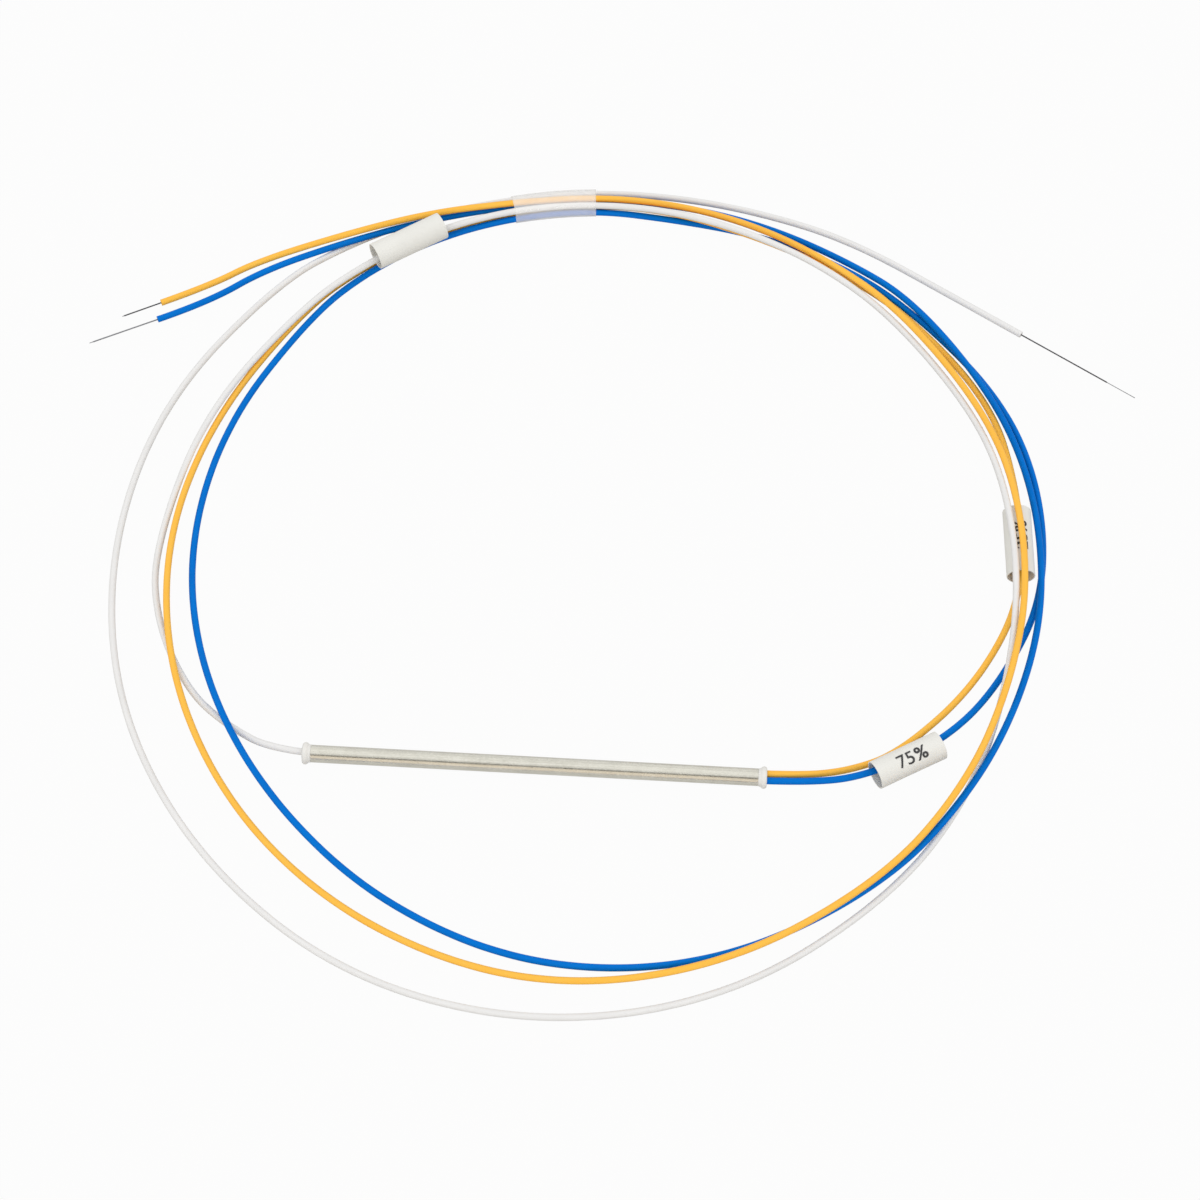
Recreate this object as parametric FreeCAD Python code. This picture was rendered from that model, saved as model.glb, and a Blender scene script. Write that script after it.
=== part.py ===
import FreeCAD, Part
import math
import os

from FreeCAD import Vector

# One fused fibre coupler in its steel tube, with three pigtails wound into one loose loop.
# The tube lies along X with its middle over the origin. Z = 0 is the surface that it lies on.
# Sizes are in millimetres and angles in degrees.

# Steel tube and its two end plugs
TUBE_LENGTH = 76.0
TUBE_OUTER_DIAMETER = 3.0
TUBE_WALL = 0.12
TUBE_EDGE_BREAK = 0.04
FLANGE_DIAMETER = 3.8
FLANGE_THICKNESS = 0.75
FLANGE_EDGE_RADIUS = 0.3
FLANGE_NECK_LENGTH = 0.7
SPIGOT_LENGTH = 3.0
SPIGOT_CLEARANCE = 0.02

# Pigtails: loose tubes with one coated fibre in each
LOOSE_TUBE_DIAMETER = 1.2
LOOSE_TUBE_ENTRY = 5.0
OUTPUT_PITCH = 1.3
HOLE_CLEARANCE = 0.02
COATED_FIBRE_DIAMETER = 0.25
WHITE_FIBRE_END = 24.0
YELLOW_FIBRE_END = 7.6
BLUE_FIBRE_END = 13.2

# Inside the steel tube
SHRINK_TUBE_OVERHANG = 3.0
SHRINK_TUBE_BORE = 2.04
SHRINK_TUBE_WALL = 0.22
SHRINK_TUBE_LIP = 2.0
SHRINK_TUBE_NECK_BORE = 1.5
SUBSTRATE_DIAMETER = 2.0
SUBSTRATE_LENGTH = 44.0
GROOVE_WIDTH = 0.7
GROOVE_FLOOR_DEPTH = 0.2
BARE_FIBRE_DIAMETER = 0.125
TAPER_LENGTH = 20.0
TAPER_WAIST_LENGTH = 3.0
TAPER_WAIST_DIAMETER = 0.05
TAPER_STEPS = 4
LEG_PITCH = 0.12
WAIST_PITCH = 0.02
BARE_LEG_LENGTH = 6.0
BOND_LENGTH = 5.0
BOND_HEIGHT = 0.65
BOND_EDGE_HEIGHT = 0.15
BOND_OVERLAP = 2.5
FIBRE_PITCH = 0.26
LEAD_STRAIGHT = 1.0
STUB_LENGTH = 4.0
STUB_DROP_DIAMETER = 0.38

# Marker sleeves and the clear wrap
SLEEVE_DIAMETER = 5.0
SLEEVE_WALL = 0.22
WHITE_SLEEVE_LENGTH = 14.0
YELLOW_SLEEVE_LENGTH = 13.0
BLUE_SLEEVE_LENGTH = 12.6
WHITE_SLEEVE_SHARE = 0.58
YELLOW_SLEEVE_SHARE = 0.455
BLUE_SLEEVE_SHARE = 0.51
WHITE_SLEEVE_ASIDE = 0.0
YELLOW_SLEEVE_ASIDE = -0.6
BLUE_SLEEVE_ASIDE = 0.6
FLOOR_SLEEVE_HEIGHT = SLEEVE_DIAMETER / 2.0
WHITE_SLEEVE_HEIGHT = 4.0
WRAP_LENGTH = 15.6
WRAP_FILM = 0.1
WRAP_GAP = 0.06

# The middles of the wrap's outermost strands, as distances outwards and up from its own middle
WRAP_CORNERS = [(-2.15, 0.78), (2.25, 0.78), (0.58, 2.25), (-1.6, 2.25)]

# The loop that the pigtails are wound into
LOOP_CENTRE = Vector(3.5, 38.0, 0.0)
STATION_ANGLE = 22.5
ARC_SHARE = 0.45

AXIS_HEIGHT = FLANGE_DIAMETER / 2.0
TUBE_BORE = TUBE_OUTER_DIAMETER - 2.0 * TUBE_WALL
SPIGOT_DIAMETER = TUBE_BORE - 2.0 * SPIGOT_CLEARANCE
HALF_TUBE = TUBE_LENGTH / 2.0
PLUG_FACE = HALF_TUBE + FLANGE_NECK_LENGTH + FLANGE_THICKNESS
ENTRY = HALF_TUBE - LOOSE_TUBE_ENTRY
SPIGOT_END = HALF_TUBE - SPIGOT_LENGTH
OUTPUT_SHIFT = OUTPUT_PITCH / 2.0
LEG_END = TAPER_LENGTH / 2.0 + BARE_LEG_LENGTH
SUBSTRATE_END = SUBSTRATE_LENGTH / 2.0
SHRINK_TUBE_END = SUBSTRATE_END + SHRINK_TUBE_OVERHANG
BOND_MIDDLE = LEG_END + BOND_LENGTH / 2.0 - BOND_OVERLAP
X_AXIS = Vector(1, 0, 0)
TUBE_AXIS = Vector(0, 0, AXIS_HEIGHT)

# Heights of a strand's middle: lying on the surface, and on top of one or two others
FLOOR = LOOSE_TUBE_DIAMETER / 2.0
IN_WRAP = FLOOR + 0.2


def around(station, radius, height):
    """A point of a route: sixteenths of a turn round the loop, from +X towards +Y."""
    angle = math.radians(STATION_ANGLE * station)
    return LOOP_CENTRE + Vector(radius * math.cos(angle), radius * math.sin(angle), height)


# The runs that the marker sleeves lie on, and those that bound the wrap
WHITE_SLEEVE_RUN = [around(5.5, 74.0, 3.3), around(5, 75.3, 3.3)]
YELLOW_SLEEVE_RUN = [around(0, 79.9, 1.8), around(0.65, 81.5, 1.8)]
BLUE_SLEEVE_RUN = [Vector(56.0, 0.95, 2.1), Vector(69.5, 8.7, 2.1)]
WRAP_INNER_RUN = [around(4, 77.3, IN_WRAP), around(4.5, 76.3, IN_WRAP)]
WRAP_OUTER_RUN = [around(-11.5, 80.5, IN_WRAP), around(-12, 81.4, IN_WRAP)]

# Each route starts inside its plug. The loop's points give the station, the distance from the
# loop's centre and the height, chosen by hand to follow how the strands lie and cross.
WHITE_ROUTE = [
    Vector(-ENTRY, 0.0, AXIS_HEIGHT),
    Vector(-44.2, 0.0, AXIS_HEIGHT),
    Vector(-53.5, 5.2, FLOOR),
    around(9, 69.6, FLOOR),
    around(8.5, 72.5, FLOOR),
    around(8, 73.6, FLOOR),
    around(7, 73.4, 1.9),
    around(6, 73.8, 1.9),
    *WHITE_SLEEVE_RUN,
    around(4.5, 77.2, 2.05),
    around(4, 77.9, 2.05),
    around(3.5, 77.6, 3.4),
    around(3, 77.8, 3.5),
    around(2.5, 78.8, 2.6),
    around(2, 79.8, 0.9),
    around(1.25, 79.5, 2.2),
    around(0.65, 78.5, 6.4),
    around(0, 78.4, 6.4),
    around(-0.6, 78.9, 2.6),
    around(-1.25, 80.4, FLOOR),
    around(-2, 81.6, FLOOR),
    around(-3, 83.3, FLOOR),
    around(-4, 83.8, FLOOR),
    around(-5, 83.8, FLOOR),
    around(-6, 82.5, FLOOR),
    around(-7, 82.2, FLOOR),
    around(-8, 81.6, FLOOR),
    around(-9, 81.9, FLOOR),
    around(-10, 81.7, FLOOR),
    around(-10.5, 81.0, FLOOR),
    around(-11, 80.6, FLOOR),
    *WRAP_OUTER_RUN,
    around(-12.5, 82.8, FLOOR),
    around(-13, 84.8, FLOOR),
    around(-13.5, 87.8, FLOOR),
    Vector(72.0, 99.2, FLOOR),
    Vector(83.4, 92.3, FLOOR),
]

YELLOW_ROUTE = [
    Vector(ENTRY, OUTPUT_SHIFT, AXIS_HEIGHT),
    Vector(44.0, OUTPUT_SHIFT, AXIS_HEIGHT),
    Vector(53.0, 2.5, FLOOR),
    around(-1.25, 66.6, FLOOR),
    around(-0.6, 74.0, FLOOR),
    *YELLOW_SLEEVE_RUN,
    around(1.25, 84.1, FLOOR),
    around(2, 82.35, FLOOR),
    around(2.5, 80.3, 0.9),
    around(3, 78.4, 2.0),
    around(3.5, 78.4, 2.0),
    around(4, 78.7, IN_WRAP),
    around(4.5, 77.6, IN_WRAP),
    around(5, 76.6, FLOOR),
    around(5.5, 75.2, FLOOR),
    around(6, 74.0, FLOOR),
    around(7, 72.0, FLOOR),
    around(8, 71.7, 2.1),
    around(9, 72.2, 2.3),
    around(10, 73.2, FLOOR),
    around(11, 74.9, FLOOR),
    around(12, 77.3, FLOOR),
    around(13, 78.4, 2.2),
    around(14, 79.1, 3.2),
    around(14.75, 79.3, 3.8),
    around(15.4, 79.3, 5.0),
    around(16, 80.0, 6.5),
    around(16.65, 80.3, 6.5),
    around(17.25, 80.8, 3.6),
    around(18, 81.2, 2.2),
    around(18.5, 80.6, 2.3),
    around(19, 80.6, 2.1),
    around(19.5, 80.3, 1.9),
    around(20, 79.5, 2.05),
    around(20.5, 78.8, 2.05),
    around(21, 79.1, 3.6),
    around(21.5, 81.6, 3.2),
    around(22, 88.0, FLOOR),
    Vector(-66.5, 94.6, FLOOR),
    Vector(-75.4, 90.1, FLOOR),
]

BLUE_ROUTE = [
    Vector(ENTRY, -OUTPUT_SHIFT, AXIS_HEIGHT),
    Vector(44.6, -OUTPUT_SHIFT, AXIS_HEIGHT),
    *BLUE_SLEEVE_RUN,
    around(-0.6, 77.4, FLOOR),
    around(0, 83.6, FLOOR),
    around(0.65, 85.9, FLOOR),
    around(1.25, 86.2, FLOOR),
    around(2, 83.6, FLOOR),
    around(2.5, 81.9, FLOOR),
    around(3, 79.7, FLOOR),
    around(3.5, 77.6, FLOOR),
    *WRAP_INNER_RUN,
    around(5, 75.3, FLOOR),
    around(5.5, 73.9, FLOOR),
    around(6, 72.0, FLOOR),
    around(7, 69.4, FLOOR),
    around(8, 67.7, FLOOR),
    around(9, 66.6, 2.4),
    around(10, 67.2, 2.4),
    around(11, 69.9, FLOOR),
    around(12, 74.2, FLOOR),
    around(13, 77.3, FLOOR),
    around(14, 79.6, 1.9),
    around(14.75, 80.6, 2.3),
    around(15.4, 81.9, 2.2),
    around(16, 83.4, 2.0),
    around(16.65, 84.4, 1.9),
    around(17.25, 84.6, 2.05),
    around(18, 84.7, 1.85),
    around(18.5, 83.4, FLOOR),
    around(19, 82.2, FLOOR),
    around(19.5, 81.0, FLOOR),
    around(20, 80.0, IN_WRAP),
    around(20.5, 78.9, IN_WRAP),
    around(21, 78.7, 2.0),
    around(21.5, 80.6, 2.1),
    around(22, 85.6, FLOOR),
    Vector(-66.5, 90.9, FLOOR),
    Vector(-75.6, 86.4, FLOOR),
]


def rod(start, direction, diameter, length):
    return Part.makeCylinder(diameter / 2.0, length, start, direction)


def along_tube(diameter, low, high, shift=0.0):
    """A round bar parallel to the steel tube's axis, from x = low to x = high."""
    return rod(TUBE_AXIS + Vector(low, shift, 0), X_AXIS, diameter, high - low)


def turned(profile):
    """A solid turned round the steel tube's axis from (x, radius) corners."""
    corners = [Vector(x, 0, AXIS_HEIGHT + radius) for x, radius in profile]
    face = Part.Face(Part.makePolygon(corners + corners[:1]))
    return face.revolve(TUBE_AXIS, X_AXIS, 360)


def mirrored(shape):
    """The same piece for the other end of the tube."""
    return shape.mirror(Vector(0, 0, 0), X_AXIS)


def rounded_path(points):
    """Straight runs joined by arcs that are as large as the two runs allow."""
    edges = []
    radii = []
    start = points[0]
    for before, corner, after in zip(points, points[1:], points[2:]):
        back = before - corner
        ahead = after - corner
        turn = math.pi - back.getAngle(ahead)
        reach = ARC_SHARE * min(back.Length, ahead.Length)
        radius = reach / math.tan(turn / 2.0)
        back.normalize()
        ahead.normalize()
        inward = back + ahead
        inward.normalize()
        enter = corner + back * reach
        leave = corner + ahead * reach
        middle = corner + inward * (math.hypot(radius, reach) - radius)
        edges.append(Part.LineSegment(start, enter).toShape())
        edges.append(Part.Arc(enter, middle, leave).toShape())
        radii.append(radius)
        start = leave
    edges.append(Part.LineSegment(start, points[-1]).toShape())
    return Part.Wire(edges), radii


def strand(points, diameter):
    """A round tube or fibre along a route, and what its path measures."""
    path, radii = rounded_path(points)
    ring = Part.Circle(points[0], points[1] - points[0], diameter / 2.0).toShape()
    solid = path.makePipeShell([Part.Wire([ring])], True, False)
    return solid, path.Length, radii


def end_direction(route):
    direction = route[-1] - route[-2]
    return direction.normalize()


def strand_holes():
    """Holes of the output side, one for each of its two strands."""
    bore = LOOSE_TUBE_DIAMETER + 2.0 * HOLE_CLEARANCE
    return [along_tube(bore, ENTRY, PLUG_FACE, shift) for shift in (OUTPUT_SHIFT, -OUTPUT_SHIFT)]


def steel_tube():
    outer = turned([
        (-HALF_TUBE, 0.0),
        (-HALF_TUBE, TUBE_OUTER_DIAMETER / 2.0 - TUBE_EDGE_BREAK),
        (-HALF_TUBE + TUBE_EDGE_BREAK, TUBE_OUTER_DIAMETER / 2.0),
        (HALF_TUBE - TUBE_EDGE_BREAK, TUBE_OUTER_DIAMETER / 2.0),
        (HALF_TUBE, TUBE_OUTER_DIAMETER / 2.0 - TUBE_EDGE_BREAK),
        (HALF_TUBE, 0.0),
    ])
    return outer.cut(along_tube(TUBE_BORE, -TUBE_LENGTH, TUBE_LENGTH))


def plain_plug():
    """The +X plug with no holes: a spigot in the tube and a neck that flares to a rolled rim."""
    tube = TUBE_OUTER_DIAMETER / 2.0
    rim = FLANGE_DIAMETER / 2.0
    neck_end = HALF_TUBE + FLANGE_NECK_LENGTH
    poles = [
        (HALF_TUBE, tube),
        (HALF_TUBE + FLANGE_NECK_LENGTH / 2.0, tube),
        (neck_end, rim),
        (PLUG_FACE - FLANGE_EDGE_RADIUS / 2.0, rim),
        (PLUG_FACE, rim - FLANGE_EDGE_RADIUS),
    ]
    outline = Part.BSplineCurve()
    outline.buildFromPoles([Vector(x, 0, AXIS_HEIGHT + radius) for x, radius in poles], False, 2)
    corners = [(PLUG_FACE, rim - FLANGE_EDGE_RADIUS), (PLUG_FACE, 0.0), (HALF_TUBE, 0.0), (HALF_TUBE, tube)]
    lines = Part.makePolygon([Vector(x, 0, AXIS_HEIGHT + radius) for x, radius in corners])
    head = Part.Face(Part.Wire([outline.toShape()] + lines.Edges)).revolve(TUBE_AXIS, X_AXIS, 360)
    return head.fuse(along_tube(SPIGOT_DIAMETER, SPIGOT_END, HALF_TUBE)).removeSplitter()


def input_end_plug():
    bore = LOOSE_TUBE_DIAMETER + 2.0 * HOLE_CLEARANCE
    return mirrored(plain_plug()).cut(along_tube(bore, -PLUG_FACE, -ENTRY))


def output_end_plug():
    return plain_plug().cut(strand_holes())


def inner_shrink_tube():
    """The shrunk sleeve over the substrate, drawn in to a narrower lip at both ends."""
    half = SHRINK_TUBE_END
    bore = SHRINK_TUBE_BORE / 2.0
    neck = SHRINK_TUBE_NECK_BORE / 2.0
    body = half - SHRINK_TUBE_LIP
    return turned([
        (-half, neck), (-half, neck + SHRINK_TUBE_WALL), (-body, bore + SHRINK_TUBE_WALL),
        (body, bore + SHRINK_TUBE_WALL), (half, neck + SHRINK_TUBE_WALL), (half, neck),
        (body, bore), (-body, bore),
    ])


def quartz_substrate():
    """A quartz rod with an open groove along its top, which the fibres lie in."""
    half = SUBSTRATE_END
    groove = Part.makeBox(
        SUBSTRATE_LENGTH,
        GROOVE_WIDTH,
        SUBSTRATE_DIAMETER,
        TUBE_AXIS + Vector(-half, -GROOVE_WIDTH / 2.0, -GROOVE_FLOOR_DEPTH),
    )
    return along_tube(SUBSTRATE_DIAMETER, -half, half).cut(groove)


def tapered_fibre(side):
    """One bare fibre of the pair: full size at its ends, drawn thin and inwards at the waist."""
    waist_end = TAPER_WAIST_LENGTH / 2.0
    slope = TAPER_LENGTH / 2.0 - waist_end
    stations = [(LEG_END, 1.0)]
    for step in range(TAPER_STEPS, -1, -1):
        stations.append((waist_end + slope * step / TAPER_STEPS, step / TAPER_STEPS))
    stations += [(-x, share) for x, share in reversed(stations)]
    rings = []
    for x, share in stations:
        eased = share * share * (3.0 - 2.0 * share)
        diameter = TAPER_WAIST_DIAMETER * (BARE_FIBRE_DIAMETER / TAPER_WAIST_DIAMETER) ** eased
        pitch = WAIST_PITCH * (LEG_PITCH / WAIST_PITCH) ** eased
        centre = TUBE_AXIS + Vector(x, side * pitch / 2.0, 0)
        rings.append(Part.Wire([Part.Circle(centre, X_AXIS, diameter / 2.0).toShape()]))
    return Part.makeLoft(rings, True, True)


def fused_taper():
    """Two bare fibres melted together side by side and drawn down to a common waist."""
    return tapered_fibre(1).fuse(tapered_fibre(-1))


def fibre_lead(side, near_shift, far_shift):
    """One coated fibre: straight along the groove, then across to the mouth of its loose tube."""
    points = [
        TUBE_AXIS + Vector(side * LEG_END, near_shift, 0),
        TUBE_AXIS + Vector(side * (SUBSTRATE_END + LEAD_STRAIGHT), near_shift, 0),
        TUBE_AXIS + Vector(side * (ENTRY - LEAD_STRAIGHT), far_shift, 0),
        TUBE_AXIS + Vector(side * ENTRY, far_shift, 0),
    ]
    return strand(points, COATED_FIBRE_DIAMETER)[0]


def input_fibre_lead():
    return fibre_lead(-1, FIBRE_PITCH / 2.0, 0.0)


def unused_port_stub():
    start = -LEG_END - STUB_LENGTH
    return along_tube(COATED_FIBRE_DIAMETER, start, -LEG_END, -FIBRE_PITCH / 2.0)


def port_terminator():
    """The drop of gel that closes the cut end of the unused fibre, beside the input fibre."""
    centre = TUBE_AXIS + Vector(-LEG_END - STUB_LENGTH, -FIBRE_PITCH / 2.0, 0)
    drop = Part.makeSphere(STUB_DROP_DIAMETER / 2.0, centre)
    return drop.cut([unused_port_stub(), input_fibre_lead()])


def bond(side, fibres):
    """An adhesive drop that fills the groove round the fibres at one end of the taper."""
    middle = side * BOND_MIDDLE
    corner = TUBE_AXIS + Vector(middle, -GROOVE_WIDTH / 2.0, -GROOVE_FLOOR_DEPTH)
    half = Vector(BOND_LENGTH / 2.0, 0, 0)
    edge = Vector(0, 0, BOND_EDGE_HEIGHT)
    crown = Vector(0, 0, BOND_HEIGHT)
    outline = Part.Wire([
        Part.Arc(corner - half + edge, corner + crown, corner + half + edge).toShape(),
        Part.makeLine(corner + half + edge, corner + half),
        Part.makeLine(corner + half, corner - half),
        Part.makeLine(corner - half, corner - half + edge),
    ])
    drop = Part.Face(outline).extrude(Vector(0, GROOVE_WIDTH, 0))
    return drop.cut([fused_taper()] + fibres)


def seal(side, pieces):
    """Soft sealant between the shrunk sleeve and the plug, cast round the strands and fibres."""
    block = along_tube(SPIGOT_DIAMETER, SHRINK_TUBE_END, SPIGOT_END)
    if side < 0:
        block = mirrored(block)
    return block.cut(pieces)


def fibre_end(route, length):
    """The coated fibre that stands out of the cut end of a loose tube."""
    return rod(route[-1], end_direction(route), COATED_FIBRE_DIAMETER, length)


def marker_sleeve(run, share, aside, length, height):
    """A thin tube that lies level round one run of its strand, its middle at that share of it.

    The strand lies against one side of the bore: aside is how far the sleeve is to its right.
    """
    start, end = run
    direction = Vector(end.x - start.x, end.y - start.y, 0)
    direction.normalize()
    middle = start + (end - start) * share + Vector(direction.y, -direction.x, 0) * aside
    corner = Vector(middle.x, middle.y, height) - direction * (length / 2.0)
    outer = rod(corner, direction, SLEEVE_DIAMETER, length)
    inner = rod(corner, direction, SLEEVE_DIAMETER - 2.0 * SLEEVE_WALL, length)
    return outer.cut(inner)


def coil_wrap():
    """Clear film drawn round all six strands, wide below where four lie and narrow above."""
    last = (WRAP_INNER_RUN[0] + WRAP_OUTER_RUN[1]) * 0.5
    first = (WRAP_INNER_RUN[1] + WRAP_OUTER_RUN[0]) * 0.5
    middle = (first + last) * 0.5
    middle.z = 0.0
    chord = Vector(last.x - first.x, last.y - first.y, 0)
    outward = Vector(-chord.y, chord.x, 0)
    outward.normalize()
    bend = (middle - LOOP_CENTRE).Length
    centre = middle - outward * bend
    half_turn = math.degrees(WRAP_LENGTH / 2.0 / bend)

    def film(gap):
        corners = [middle + outward * across + Vector(0, 0, up) for across, up in WRAP_CORNERS]
        outline = Part.makePolygon(corners + corners[:1]).makeOffset2D(LOOSE_TUBE_DIAMETER / 2.0 + gap)
        face = Part.Face(outline)
        face.rotate(centre, Vector(0, 0, 1), -half_turn)
        return face.revolve(centre, Vector(0, 0, 1), 2.0 * half_turn)

    return film(WRAP_GAP + WRAP_FILM).cut(film(WRAP_GAP))


def save(node, shape):
    solids = shape.Solids
    if not solids or not shape.isValid():
        raise ValueError(node + " is not a sound solid")
    kept = solids[0] if len(solids) == 1 else Part.makeCompound(solids)
    kept.exportStep("parts/" + node + ".step")


def main():
    os.makedirs("parts", exist_ok=True)
    nodes = {}
    section = math.pi * LOOSE_TUBE_DIAMETER ** 2 / 4.0
    for colour, route in (("white", WHITE_ROUTE), ("yellow", YELLOW_ROUTE), ("blue", BLUE_ROUTE)):
        solid, length, radii = strand(route, LOOSE_TUBE_DIAMETER)
        nodes[colour + "_loose_tube"] = solid
        print(colour, "length %.1f" % length, "volume %.4f of the plain figure" % (solid.Volume / section / length))
        print(colour, "radii", " ".join("%.0f" % radius for radius in radii))

    nodes["steel_tube"] = steel_tube()
    nodes["input_end_plug"] = input_end_plug()
    nodes["output_end_plug"] = output_end_plug()
    nodes["inner_shrink_tube"] = inner_shrink_tube()
    nodes["quartz_substrate"] = quartz_substrate()
    nodes["fused_taper"] = fused_taper()
    nodes["input_fibre_lead"] = input_fibre_lead()
    nodes["unused_port_stub"] = unused_port_stub()
    nodes["port_terminator"] = port_terminator()
    nodes["yellow_fibre_lead"] = fibre_lead(1, FIBRE_PITCH / 2.0, OUTPUT_SHIFT)
    nodes["blue_fibre_lead"] = fibre_lead(1, -FIBRE_PITCH / 2.0, -OUTPUT_SHIFT)
    input_fibres = [nodes["input_fibre_lead"], nodes["unused_port_stub"]]
    output_fibres = [nodes["yellow_fibre_lead"], nodes["blue_fibre_lead"]]
    nodes["input_taper_bond"] = bond(-1, input_fibres)
    nodes["output_taper_bond"] = bond(1, output_fibres)
    nodes["input_seal"] = seal(-1, input_fibres[:1] + [nodes["white_loose_tube"]])
    nodes["output_seal"] = seal(1, output_fibres + [nodes["yellow_loose_tube"], nodes["blue_loose_tube"]])

    nodes["white_fibre_end"] = fibre_end(WHITE_ROUTE, WHITE_FIBRE_END)
    nodes["yellow_fibre_end"] = fibre_end(YELLOW_ROUTE, YELLOW_FIBRE_END)
    nodes["blue_fibre_end"] = fibre_end(BLUE_ROUTE, BLUE_FIBRE_END)
    nodes["white_marker_sleeve"] = marker_sleeve(
        WHITE_SLEEVE_RUN, WHITE_SLEEVE_SHARE, WHITE_SLEEVE_ASIDE, WHITE_SLEEVE_LENGTH, WHITE_SLEEVE_HEIGHT)
    nodes["yellow_marker_sleeve"] = marker_sleeve(
        YELLOW_SLEEVE_RUN, YELLOW_SLEEVE_SHARE, YELLOW_SLEEVE_ASIDE, YELLOW_SLEEVE_LENGTH, FLOOR_SLEEVE_HEIGHT)
    nodes["blue_marker_sleeve"] = marker_sleeve(
        BLUE_SLEEVE_RUN, BLUE_SLEEVE_SHARE, BLUE_SLEEVE_ASIDE, BLUE_SLEEVE_LENGTH, FLOOR_SLEEVE_HEIGHT)
    nodes["coil_wrap"] = coil_wrap()
    for node, shape in nodes.items():
        save(node, shape)


main()
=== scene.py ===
import math

import bmesh
import bpy
from mathutils import Matrix, Vector


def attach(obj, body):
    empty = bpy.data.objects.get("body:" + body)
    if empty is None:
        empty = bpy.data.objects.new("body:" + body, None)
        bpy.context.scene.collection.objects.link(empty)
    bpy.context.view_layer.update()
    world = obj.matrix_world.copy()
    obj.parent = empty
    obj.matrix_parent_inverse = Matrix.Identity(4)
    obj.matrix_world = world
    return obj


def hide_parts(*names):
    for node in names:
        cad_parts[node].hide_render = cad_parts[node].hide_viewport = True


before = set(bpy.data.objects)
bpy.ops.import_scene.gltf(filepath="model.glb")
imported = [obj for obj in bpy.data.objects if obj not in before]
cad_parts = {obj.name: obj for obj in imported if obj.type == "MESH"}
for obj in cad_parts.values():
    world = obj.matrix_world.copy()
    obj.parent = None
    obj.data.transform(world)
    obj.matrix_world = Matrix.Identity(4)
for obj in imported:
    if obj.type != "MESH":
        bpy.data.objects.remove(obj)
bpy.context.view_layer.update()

# Scene sizes are in metres. MM turns a size in millimetres into one.
MM = 0.001

# Steel tube and its plugs
TUBE_LENGTH = 76.0 * MM
TUBE_DIAMETER = 3.0 * MM
TUBE_BORE = 2.76 * MM
TUBE_EDGE = 0.05 * MM
TUBE_RINGS = 40
TUBE_SIDES = 160
PLUG_FACE = 39.45 * MM

# Pigtails and the fibre that stands out of them
STRAND_DIAMETER = 1.2 * MM
STRAND_BORE = 0.55 * MM
STRAND_RIPPLE = 0.05 * MM
STRAND_RIPPLE_SCALE = 160.0
STRAND_RINGS = 760
STRAND_SIDES = 24
COAT_DIAMETER = 0.25 * MM
GLASS_DIAMETER = 0.125 * MM
FIBRE_INSIDE = 3.0 * MM
FIBRE_SIDES = 20
STRIP_TAPER = 0.25 * MM
TIP_EDGE = 0.02 * MM
TIP_SHARE = 0.8

# Marker sleeves and their figures
SLEEVE_DIAMETER = 5.0 * MM
SLEEVE_BORE = 4.56 * MM
SLEEVE_EDGE = 0.05 * MM
SLEEVE_RIPPLE = 0.12 * MM
SLEEVE_RIPPLE_SCALE = 120.0
SLEEVE_RINGS = 28
SLEEVE_SIDES = 96
PRINT_HEIGHT = 2.3 * MM
PRINT_LIFT = 0.012 * MM
PRINT_LONGEST_EDGE = 0.3 * MM
CAPITAL_SHARE = 0.7
FIGURES_SHIFT = -0.95 * MM
PERCENT_SHIFT = 2.0 * MM
PERCENT_BOLDNESS = 0.06 * MM

# Lengths on the routes, in millimetres. The heights are those of a strand's middle.
FLOOR = 0.6
IN_WRAP = 0.8
ON_AXIS = 1.9
OUTPUT_ASIDE = 0.65
STRAND_ENTRY = 33.0
LOOP_CENTRE = Vector((3.5, 38.0, 0.0))

# Angle from one station round the loop to the next, in degrees
STATION_ANGLE = 22.5

# Points that a spline gets between two of its own
ROUTE_RESOLUTION = 24
PATH_RESOLUTION = 12


def around(station, radius, height):
    """A point round the loop, in millimetres. The stations count from +X towards +Y."""
    angle = math.radians(STATION_ANGLE * station)
    return LOOP_CENTRE + Vector((radius * math.cos(angle), radius * math.sin(angle), height))


def at(x, y, z):
    """A point of a route in millimetres."""
    return Vector((x, y, z))


# The runs that the marker sleeves lie on, and those that bound the wrap
WHITE_SLEEVE_RUN = [around(5.5, 74.0, 3.3), around(5, 75.3, 3.3)]
YELLOW_SLEEVE_RUN = [around(0, 79.9, 1.8), around(0.65, 81.5, 1.8)]
BLUE_SLEEVE_RUN = [at(56.0, 0.95, 2.1), at(69.5, 8.7, 2.1)]
WRAP_INNER_RUN = [around(4, 77.3, IN_WRAP), around(4.5, 76.3, IN_WRAP)]
WRAP_OUTER_RUN = [around(-11.5, 80.5, IN_WRAP), around(-12, 81.4, IN_WRAP)]

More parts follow.
